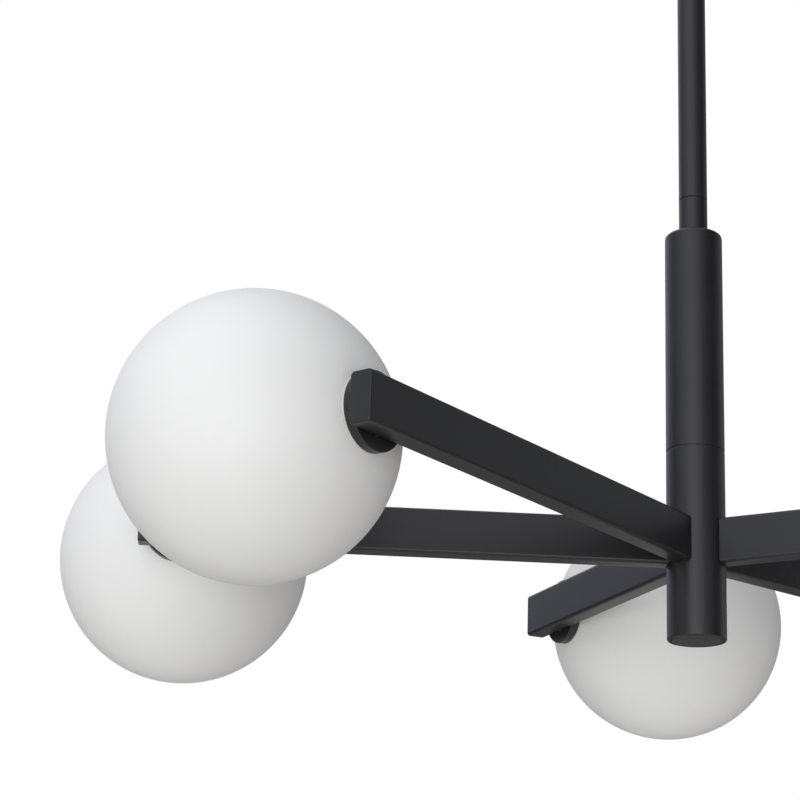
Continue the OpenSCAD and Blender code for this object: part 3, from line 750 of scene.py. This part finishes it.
class CHANDELIER_OT_nuts(Builder, bpy.types.Operator):
    """Locknut and toothed washer on the bracket, and the nut and washer that carry the column"""
    bl_idname = "chandelier.nuts"
    bl_label = "Nuts and washers"

    def washer(self, name, low, high, r):
        return turned(name, [(NIPPLE_HOLE, low, 0), (r, low, CRISP), (r, high, CRISP),
                             (NIPPLE_HOLE, high, 0)], ZINC, around=72)

    def build(self, s):
        low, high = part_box("rod_locknut")
        ride(hexagon("locknut_hex", low.z, high.z, NUT_FLATS, NIPPLE_HOLE, ZINC),
             "ceiling_set", ZINC, "rod_locknut")
        low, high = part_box("toothed_washer")
        outer, disc_in, tooth_in = radius("toothed_washer"), *mm(2.2, 1.75)
        disc = self.washer("washer_disc", low.z, high.z, outer - disc_in)
        teeth = grow("washer_teeth", tooth_tree(),
                     {"Radius": outer - tooth_in, "Count": 12, "Tooth": mm(3.2, 2.2, 0.55),
                      "Twist": 0.18},
                     ZINC, place=Matrix.Translation((0, 0, (low.z + high.z) / 2)))
        ride(join("toothed_washer_ring", disc, teeth), "ceiling_set", ZINC, "toothed_washer")
        low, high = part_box("swivel_nut")
        thick, r = mm(1, 10)
        ring = self.washer("swivel_washer", high.z - thick, high.z, r)
        nut = hexagon("swivel_hex", low.z, high.z - thick, NUT_FLATS, NIPPLE_HOLE, ZINC)
        ride(join("swivel_nut_set", ring, nut), "ceiling_set", ZINC, "swivel_nut")


class CHANDELIER_OT_bracket(Builder, bpy.types.Operator):
    """Bent strap that holds the lamp to the ceiling, with its slots and holes"""
    bl_idname = "chandelier.bracket"
    bl_label = "Ceiling bracket"

    def build(self, s):
        low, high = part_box("ceiling_bracket")
        sheet, inner, leg, screw_hole = mm(2, 1.2, 26, 2.05)
        outer = inner + sheet
        corners = [(-high.x, 0, 0), (-leg + sheet, 0, outer), (-leg + sheet, low.z + sheet, inner),
                   (leg - sheet, low.z + sheet, inner), (leg - sheet, 0, outer), (high.x, 0, 0),
                   (high.x, -sheet, 0), (leg, -sheet, inner), (leg, low.z, outer),
                   (-leg, low.z, outer), (-leg, -sheet, inner), (-high.x, -sheet, 0)]
        loops = [[(x, y, z) for x, z in rounded(corners, 5)] for y in (low.y, high.y)]
        strap = lofted("bracket_strap", loops, ZINC)
        holes = [(0, NIPPLE_HOLE)]
        holes += [(middle_x(node), screw_hole) for node in ("earth_screw", "terminal_block")]
        cutters = [plug("cutter", r, low.z - sheet, low.z + 3 * sheet, ZINC,
                        Matrix.Translation((x, 0, 0))) for x, r in holes]
        slot = MOUNTS["ceiling_slots"]["dims"]
        half_wide, half_long, half_apart = mm(
            slot["hole_r_mm"], slot["slot_length_mm"] / 2, slot["spacing_x_mm"] / 2)
        shape = rounded([(half_long, -half_wide, half_wide), (half_long, half_wide, half_wide),
                         (-half_long, half_wide, half_wide), (-half_long, -half_wide, half_wide)],
                        12)
        for side in (-1, 1):
            cutters.append(lofted("cutter", [[(x + side * half_apart, y, z) for x, y in shape]
                                             for z in (-2 * sheet, sheet)], ZINC))
        drill(strap, *cutters)
        edge = strap.modifiers.new("edge", "BEVEL")
        edge.width, edge.segments = 0.25 * MM, 2
        edge.limit_method, edge.angle_limit = "ANGLE", radians(50)
        bake(strap)
        smooth(strap.data)
        ride(even(strap), "ceiling_set", ZINC, "ceiling_bracket")


class CHANDELIER_OT_terminals(Builder, bpy.types.Operator):
    """Terminal block with its clamp screws, and the earth screw with its cup washer and nut"""
    bl_idname = "chandelier.terminals"
    bl_label = "Terminals"

    def build(self, s):
        self.block()
        self.earth_screw()

    def block(self):
        low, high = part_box("terminal_block")
        middle, wide, long = middle_x("terminal_block"), high.x - low.x, high.y - low.y
        foot, peg, corner, chamfer = mm(3, 2, 0.8, 0.5)
        pitch, well, well_deep, entry, entry_deep = mm(8, 1.9, 4, 1.4, 6)
        screw_r, screw_in, screw_edge = mm(1.6, 2.2, 0.25)
        slit_long, slit_wide, slit_deep = mm(4, 0.5, 0.7)
        base, head = low.z + foot, high.z - screw_in
        block = lofted("terminal_body", [
            [(middle + x, y, z) for x, y in box_loop(wide, long, corner, inset)]
            for inset, z in ((chamfer, base), (0.0, base + chamfer), (0.0, high.z - ROUND),
                             (CRISP, high.z - CRISP), (ROUND, high.z))], PLASTIC)
        wells, screws = [], []
        for y in (-pitch, 0, pitch):
            place = Matrix.Translation((middle, y, 0))
            wells.append(plug("cutter", well, high.z - well_deep, high.z + PAST, PLASTIC, place))
            wells.append(plug("cutter", entry, -high.x, -middle, PLASTIC, placed(
                Vector((0, y, high.z - entry_deep)), UP, Vector((0, 1, 0)), Vector((-1, 0, 0))),
                around=32))
            screw = plug("clamp_screw", screw_r, high.z - well_deep, head, BRASS, place,
                         (0, screw_edge))
            screws.append(drill(screw, self.slit(place.translation, slit_long, slit_wide,
                                                 head - slit_deep, high.z)))
        block = drill(block, *wells)
        peg = plug("terminal_peg", peg, low.z, base + PAST, PLASTIC,
                   Matrix.Translation((middle, 0, 0)), (EASED, 0))
        ride(join("terminal_block_body", block, peg, *screws), "ceiling_set", PLASTIC,
             "terminal_block")

    def earth_screw(self):
        low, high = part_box("earth_screw")
        place = Matrix.Translation((middle_x("earth_screw"), 0, 0))
        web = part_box("ceiling_bracket")[0].z
        sheet, core, crest, pitch, ridge, runout = mm(2, 1.6, 2, 0.7, 0.4, 0.5)
        cup, cup_high, head, head_low, head_high, dome, dome_edge = mm(5, 0.8, 4, 0.9, 1.8, 3, 0.8)
        nut_high, nut_flats, slit_long, slit_wide, slit_deep = mm(3, 7, 12, 1, 1.2)
        seat = web + sheet
        screw = turned("earth_head", [
            (0, low.z, 0), (core, low.z, EASED), (core, seat, 0), (cup, seat, CRISP),
            (cup, seat + cup_high, EASED), (head, seat + head_low, 0),
            (head, seat + head_high, ROUND), (dome, high.z, dome_edge), (0, high.z, 0)],
            BRASS, place, around=72)
        slit = self.slit(place.translation, slit_long, slit_wide, high.z - slit_deep,
                         high.z + PAST)
        winding = thread("earth_thread", BRASS, place, low.z + runout, web - CRISP, crest, pitch,
                         ridge, steps=32)
        nut = hexagon("earth_nut", web - nut_high, web, nut_flats, crest, BRASS, place)
        ride(join("earth_screw_set", drill(screw, slit), winding, nut), "ceiling_set", BRASS,
             "earth_screw")

    def slit(self, at, long, wide, low, high):
        """A cutter for a screwdriver's slit."""
        outline = box_loop(long, wide, 0.01 * MM)
        return lofted("cutter", [[(at.x + x, at.y + y, z) for x, y in outline]
                                 for z in (low, high)], BRASS)


class CHANDELIER_OT_leads(Builder, bpy.types.Operator):
    """The lead down the rod with its three cores, and the leads in the bars"""
    bl_idname = "chandelier.leads"
    bl_label = "Leads"

    def build(self, s):
        low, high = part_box("rod_lead")
        sheath_wide, core, pitch, tight = mm(6, 1.8, 1.95, 2.5)
        level, top = high.z - core / 2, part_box("top_nipple")[1].z - MM
        sheath = lead("rod_lead_sheath", [Vector((0, 0, low.z)), Vector((0, 0, top))],
                      sheath_wide, SHEATH, 32)
        ride(sheath, "ceiling_set", SHEATH, "rod_lead")
        for word, y in (("live", -pitch), ("neutral", 0), ("earth", pitch)):
            path = bend([(0, y, top - 2 * MM), (0, y, level), (high.x, y, level)], tight)
            ride(lead(f"rod_lead_core_{word}", path, core, f"{word}_core", 16),
                 "ceiling_set", SHEATH)
        start, stop, wide, easy = mm(13.95, 7.2, 4, 4)
        runs = []
        for number in ARMS:
            arm = Arm(number)
            turn = arm.root + arm.out * arm.reach
            path = bend([arm.root + arm.out * start, turn, turn + arm.side * stop], easy)
            runs.append(lead(f"arm_lead_{number}", path, wide, SHEATH, 20))
        ride(join("arm_leads_set", *runs), "lamp", SHEATH, "arm_leads")


class CHANDELIER_OT_canopy(Builder, bpy.types.Operator):
    """Drawn canopy, and its collar with the grub screw's hole"""
    bl_idname = "chandelier.canopy"
    bl_label = "Canopy"

    def build(self, s):
        low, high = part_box("canopy")
        r, t = radius("canopy"), s.canopy_wall
        spigot, bore, hole = mm(10, 8.06, 2.05)
        inner, shoulder = spigot + 0.05 * MM, low.z
        cup = turned("canopy_shell", [
            (inner, low.z, CRISP), (r, low.z, s.canopy_edge), (r, high.z, SOFT),
            (r - t, high.z, SOFT), (r - t, low.z + t, s.canopy_edge - t),
            (inner, low.z + t, CRISP)], COAT, steps=10, around=192)
        ride(cup, "canopy_set", COAT, "canopy")
        low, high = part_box("canopy_collar")
        r = radius("canopy_collar")
        collar = turned("collar_body", [
            (bore, low.z, EASED), (r, low.z, 0.9 * MM), (r, shoulder, 0.15 * MM),
            (spigot, shoulder, 0), (spigot, high.z, EASED), (bore, high.z, EASED)], COAT)
        across = placed(Vector((0, 0, (low.z + shoulder) / 2)), Vector((1, 0, 0)), -UP,
                        Vector((0, 1, 0)))
        drill(collar, plug("cutter", hole, bore - PAST, r + 2 * PAST, COAT, across))
        ride(even(collar), "canopy_set", COAT, "canopy_collar")


class CHANDELIER_OT_column(Builder, bpy.types.Operator):
    """Ferrule, barrel, hub and cap: the turned tubes of the column"""
    bl_idname = "chandelier.column"
    bl_label = "Column"

    def build(self, s):
        bore, spigot, play, cover = mm(5.06, 6.56, 0.02, 6)
        low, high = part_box("ferrule")
        r, top = radius("ferrule"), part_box("barrel")[1].z
        ferrule = turned("ferrule_sleeve", [
            (bore, low.z, 0), (spigot, low.z, 0), (spigot, top, 0), (r, top, CRISP),
            (r, high.z, s.fine_edge), (bore, high.z, 0)], COAT)
        ride(ferrule, "lamp", COAT, "ferrule")
        low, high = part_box("barrel")
        r = radius("barrel")
        inner, groove, hole = r - s.tube_wall, r - s.seam_deep, spigot + play
        barrel = turned("barrel_tube", [
            (inner, low.z, CRISP), (groove, low.z, 0), (groove, low.z + s.seam_wide, 0),
            (r, low.z + s.seam_wide, CRISP), (r, high.z, s.barrel_edge), (hole, high.z, CRISP),
            (hole, high.z - cover / 2, 0), (bore, high.z - cover / 2, 0),
            (bore, high.z - cover, 0), (inner, high.z - cover, 0)], COAT, steps=8)
        ride(barrel, "lamp", COAT, "barrel")
        end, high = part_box("hub_cap")[0].z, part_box("hub")[1]
        hub = turned("hub_tube", [
            (inner, end, s.hub_lip), (r, end, s.hub_edge), (r, high.z, s.seam_edge),
            (inner, high.z, CRISP)], COAT, steps=8)
        ride(hub, "lamp", COAT, "hub")
        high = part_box("hub_cap")[1]
        rim, well, top = inner - s.cap_gap, inner - s.tube_wall, end + s.cap_thick
        cap = turned("hub_cap_disc", [
            (0, end, 0), (rim, end, SOFT), (rim, high.z, EASED), (well, high.z, EASED),
            (well, top, 0), (0, top, 0)], COAT)
        ride(cap, "lamp", COAT, "hub_cap")


class CHANDELIER_OT_arms(Builder, bpy.types.Operator):
    """Five flat bars, coped to the hub, and the plates that close them"""
    bl_idname = "chandelier.arms"
    bl_label = "Arms"

    def build(self, s):
        hub, deep, play = radius("hub"), *mm(4, 0.05)
        turns = [radians(a) for a in range(0, 91, 18)]
        for number in ARMS:
            arm = Arm(number)
            low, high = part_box(f"arm_{number}")
            near, far = span(f"arm_{number}", arm.side)
            wide, tall = far - near, high.z - low.z
            stop = span(f"arm_{number}", arm.out)[1]

            def section(out, inset=0.0, wall=0.0, edge=None, coped=False):
                """The bar's outline this far out, flat or following the hub's round wall."""
                edge = edge or max(s.arm_edge - wall, EASED)
                outline = box_loop(wide - 2 * wall, tall - 2 * wall, edge, inset)
                return [(out + (sqrt(hub ** 2 - y ** 2) if coped else 0), y, z)
                        for y, z in outline]

            foot = [section(s.arm_foot * (1 - cos(a)), s.arm_foot * (1 - sin(a)), coped=True)
                    for a in turns]
            loops = foot + [section(stop), section(stop, wall=s.arm_wall),
                            section(0, wall=s.arm_wall, coped=True)]
            bar = lofted(f"arm_{number}_bar", loops, COAT, arm.along(), ring=True)
            ride(bar, "lamp", COAT, f"arm_{number}")

            face = [section(arm.end - s.plug_edge * (1 - cos(a)), s.plug_edge * (1 - sin(a)))
                    for a in turns]
            spigot, hollow = s.arm_wall + play, {"wall": 2 * s.arm_wall, "edge": EASED}
            loops = face + [section(stop), section(stop, wall=spigot),
                            section(stop - deep, wall=spigot), section(stop - deep, **hollow),
                            section(stop, **hollow)]
            plate = lofted(f"end_plug_{number}_plate", loops, COAT, arm.along())
            ride(plate, "lamp", COAT, f"end_plug_{number}")


class CHANDELIER_OT_fitters(Builder, bpy.types.Operator):
    """Cup and silicone seal between each bar and its globe"""
    bl_idname = "chandelier.fitters"
    bl_label = "Fitters"

    def build(self, s):
        hole, seal_edge = mm(3, 0.25)
        for number in ARMS:
            arm = Arm(number)
            node = f"fitter_cup_{number}"
            low, high = span(node, arm.side)
            r, floor = half_height(node), low + s.cup_floor
            inner = r - s.cup_wall
            cup = turned(f"{node}_shell", [
                (hole, low, 0), (r, low, SOFT), (r, high, ROUND), (inner, high, SOFT),
                (inner, floor, ROUND), (hole, floor, CRISP)], COAT, arm.fitter())
            ride(cup, "lamp", COAT, node)
            node = f"seal_{number}"
            low, high = span(node, arm.side)
            r = half_height(node)
            seal = turned(f"{node}_ring", [
                (s.seal_bore, low, seal_edge), (r, low, seal_edge), (r, high, seal_edge),
                (s.seal_bore, high, seal_edge)], "silicone", arm.fitter(), around=96)
            ride(seal, node, "silicone", node)


def arc(r, start, end, steps):
    """Points (radius, height) about the globe's centre, angles from the pole at its neck."""
    turns = [start + (end - start) * k / steps for k in range(steps + 1)]
    return [(r * sin(a), -r * cos(a), 0) for a in turns]


class CHANDELIER_OT_globes(Builder, bpy.types.Operator):
    """Opal glass globes: round wall, flat seat and a short neck with its thread"""
    bl_idname = "chandelier.globes"
    bl_label = "Globes"

    def build(self, s):
        neck, bore, ridge, turns = s.glass_neck, s.glass_bore, s.glass_ridge, 0.8
        runout, flare, lip, throat = mm(0.9, 1.2, 0.5, 0.8)
        root = neck - ridge
        for number in ARMS:
            arm = Arm(number)
            node = f"globe_{number}"
            r = half_height(node)
            seat = span(f"seal_{number}", arm.side)[1] - arm.centre
            mouth = span(node, arm.side)[0] - arm.centre
            inner, rim = r - s.glass_wall, sqrt(r ** 2 - seat ** 2)
            foot = -sqrt(inner ** 2 - (bore + flare) ** 2)
            corners = [(root, mouth, lip), (root, seat, EASED), (rim - ROUND, seat, SOFT),
                       *arc(r, acos(-seat / r), pi, 88)[1:],
                       *arc(inner, pi, acos(-foot / inner), 72)[:-1],
                       (bore, foot - flare, throat), (bore, mouth, lip)]
            place = arm.fitter() @ Matrix.Translation((0, 0, arm.centre))
            glass = turned(f"{node}_blown", corners, GLASS, place, steps=4, around=160)
            start = mouth + runout
            winding = thread(f"{node}_thread", GLASS, place, start, start + turns * s.glass_pitch,
                             neck, s.glass_pitch, ridge, 8, 96)
            ride(join(f"{node}_glass", glass, winding), node, GLASS, node)


class CHANDELIER_OT_bulbs(Builder, bpy.types.Operator):
    """Two-pin lamp capsules: pressed foot, domed envelope and flat pins"""
    bl_idname = "chandelier.bulbs"
    bl_label = "Bulbs"

    def build(self, s):
        gap, press, step, shoulder, edge = mm(0.3, 12, 0.5, 0.3, 0.8)
        pin_apart, pin_wide, pin_thick, pin_edge = mm(4.5, 2.4, 0.8, 0.25)
        for number in ARMS:
            arm = Arm(number)
            node, place = f"bulb_{number}", arm.fitter()
            low, high = span(node, arm.side)
            r = half_height(node)
            foot = span(f"lamp_holder_{number}", arm.side)[1] + gap
            waist, body = foot + press, r - step
            dome = high - body
            glass = turned(f"{node}_glass", [
                (0, foot, 0), (r, foot, ROUND), (r, waist - MM, edge),
                (body, waist + shoulder, edge), (body, dome, 0),
                *[(body * cos(radians(a)), dome + body * sin(radians(a)), 0)
                  for a in range(9, 90, 9)],
                (0, high, 0)], CAPSULE, place, around=64)
            pins = [lofted(f"{node}_pin", [
                [(x, y + side * pin_apart, z)
                 for x, y in box_loop(pin_wide, pin_thick, pin_edge, inset, 3)]
                for inset, z in ((pin_edge, low), (0, low + SOFT), (0, foot + MM))], ZINC, place)
                for side in (-1, 1)]
            ride(join(f"{node}_capsule", glass, *pins), node, CAPSULE, node)


class CHANDELIER_OT_finishes(Builder, bpy.types.Operator):
    """Finishes of the CAD parts that show as they are"""
    bl_idname = "chandelier.finishes"
    bl_label = "Finishes"

    def build(self, s):
        slots = {part["node"]: part["material_slot"] for part in frame["record"]["subparts"]}
        for name, obj in frame["nodes"].items():
            if obj.hide_render:
                continue
            if slots[name] not in FINISHES:
                raise RuntimeError(f"no finish for {name}")
            obj.data.materials.clear()
            obj.data.materials.append(finish(slots[name]))


# ---- Stage ----

# Paper roll under the lamp: its level, thickness and radius in metres
FLOOR_LEVEL, FLOOR_THICK, FLOOR_RADIUS = -2.40, 0.02, 3
# The photo's view, fitted to the lamp's edges in it: place in metres, turns in degrees, lens in mm
EYE = (0, -1.21639, -0.9511)
YAW, PITCH, ROLL = -7.68, 18.53, 1.93
LENS, SENSOR, FAR_CLIP = 103.842, 36, 50
# Soft light from all round, matched to the photo: degrees round Z, degrees up, the cosine at
# which it fades out, and its colour in linear light
SOFT_BOXES = (
    (110, 10, 0.72, (0.16, 0.15, 0.18)),
    (150, 10, 0.72, (0.10, 0.10, 0.16)),
    (228, 10, 0.72, (0.36, 0.42, 0.54)),
    (255, 10, 0.72, (0.38, 0.36, 0.42)),
    (282, 10, 0.72, (0.32, 0.30, 0.38)),
    (40, 10, 0.72, (0.36, 0.37, 0.40)),
    (270, -25, 0.60, (2.10, 2.15, 2.00)),
    (200, -25, 0.60, (0.34, 0.30, 0.22)),
    (340, -25, 0.60, (0.18, 0.13, 0.14)),
    (90, -25, 0.60, (0.10, 0.09, 0.08)),
    (225, 50, 0.60, (0.58, 0.56, 0.58)),
    (315, 50, 0.60, (0.14, 0.16, 0.22)),
    (135, 50, 0.60, (0.74, 0.77, 0.86)),
    (270, 75, 0.60, (0.60, 0.62, 0.50)),
)


class CHANDELIER_OT_stage(Builder, bpy.types.Operator):
    """Plain pale floor far below, soft light from all round, and the camera"""
    bl_idname = "chandelier.stage"
    bl_label = "Stage"

    def build(self, s):
        scene = bpy.context.scene
        plug("floor", FLOOR_RADIUS, FLOOR_LEVEL - FLOOR_THICK, FLOOR_LEVEL, PAPER,
                      around=96)
        scene.world = self.light()
        scene.camera = self.camera()
        scene.collection.objects.link(scene.camera)
        scene.view_settings.view_transform = "Standard"

    def light(self):
        """Soft boxes that light the lamp, behind white paper that only the camera sees."""
        world = bpy.data.worlds.new("studio")
        world.use_nodes = True
        tree = world.node_tree
        tree.nodes.clear()
        way = add(tree, "ShaderNodeTexCoord").outputs["Generated"]
        light = (0, 0, 0)
        for turn, rise, fade, power in SOFT_BOXES:
            turn, rise = radians(turn), radians(rise)
            toward = Vector((cos(turn) * cos(rise), sin(turn) * cos(rise), sin(rise)))
            facing = add(tree, "ShaderNodeVectorMath", {0: way, 1: toward},
                         operation="DOT_PRODUCT")
            lobe = add(tree, "ShaderNodeMapRange",
                       {"Value": facing.outputs["Value"], "From Min": fade},
                       interpolation_type="SMOOTHSTEP")
            tone = add(tree, "ShaderNodeVectorMath", {0: power, "Scale": lobe.outputs[0]},
                       operation="SCALE")
            light = add(tree, "ShaderNodeVectorMath", {0: light, 1: tone.outputs[0]},
                        operation="ADD").outputs[0]
        lamp = add(tree, "ShaderNodeBackground", {"Color": light, "Strength": 1.0})
        paper = add(tree, "ShaderNodeBackground", {"Color": (1, 1, 1, 1), "Strength": 1.0})
        seen = add(tree, "ShaderNodeLightPath").outputs["Is Camera Ray"]
        mix = add(tree, "ShaderNodeMixShader", {0: seen, 1: lamp.outputs[0], 2: paper.outputs[0]})
        add(tree, "ShaderNodeOutputWorld", {"Surface": mix.outputs[0]})
        return world

    def camera(self):
        turn, lift, lean = map(radians, (YAW, PITCH, ROLL))
        ahead = Vector((sin(turn) * cos(lift), cos(turn) * cos(lift), sin(lift)))
        level = Vector((cos(turn), -sin(turn), 0))
        over = level.cross(ahead)
        right = level * cos(lean) + over * sin(lean)
        up = over * cos(lean) - level * sin(lean)
        lens = bpy.data.cameras.new("camera")
        lens.lens, lens.sensor_width, lens.clip_end = LENS, SENSOR, FAR_CLIP
        eye = bpy.data.objects.new("camera", lens)
        eye.matrix_world = placed(Vector(EYE), right, up, -ahead)
        return eye


OPERATORS = (CHANDELIER_OT_rods, CHANDELIER_OT_nuts, CHANDELIER_OT_bracket,
             CHANDELIER_OT_terminals, CHANDELIER_OT_leads, CHANDELIER_OT_canopy,
             CHANDELIER_OT_column, CHANDELIER_OT_arms, CHANDELIER_OT_fitters,
             CHANDELIER_OT_globes, CHANDELIER_OT_bulbs, CHANDELIER_OT_finishes,
             CHANDELIER_OT_stage)


class CHANDELIER_PT_panel(bpy.types.Panel):
    """Sizes, colours and the pieces of the chandelier"""
    bl_idname = "CHANDELIER_PT_panel"
    bl_label = "Branch chandelier"
    bl_space_type = "VIEW_3D"
    bl_region_type = "UI"
    bl_category = "Chandelier"

    def draw(self, context):
        for group in (context.scene.chandelier_sizes, context.scene.chandelier_colours):
            column = self.layout.column()
            for name in group.bl_rna.properties.keys():
                if name not in ("rna_type", "name"):
                    column.prop(group, name)
        for operator in OPERATORS:
            self.layout.operator(operator.bl_idname)


CLASSES = (ChandelierColours, ChandelierSizes, *OPERATORS, CHANDELIER_PT_panel)


def register():
    for cls in CLASSES:
        bpy.utils.register_class(cls)
    bpy.types.Scene.chandelier_colours = PointerProperty(type=ChandelierColours)
    bpy.types.Scene.chandelier_sizes = PointerProperty(type=ChandelierSizes)


def unregister():
    del bpy.types.Scene.chandelier_sizes
    del bpy.types.Scene.chandelier_colours
    for cls in reversed(CLASSES):
        bpy.utils.unregister_class(cls)


def main():
    register()
    for operator in OPERATORS:
        group, name = operator.bl_idname.split(".")
        getattr(getattr(bpy.ops, group), name)()


if __name__ == "__main__":
    main()
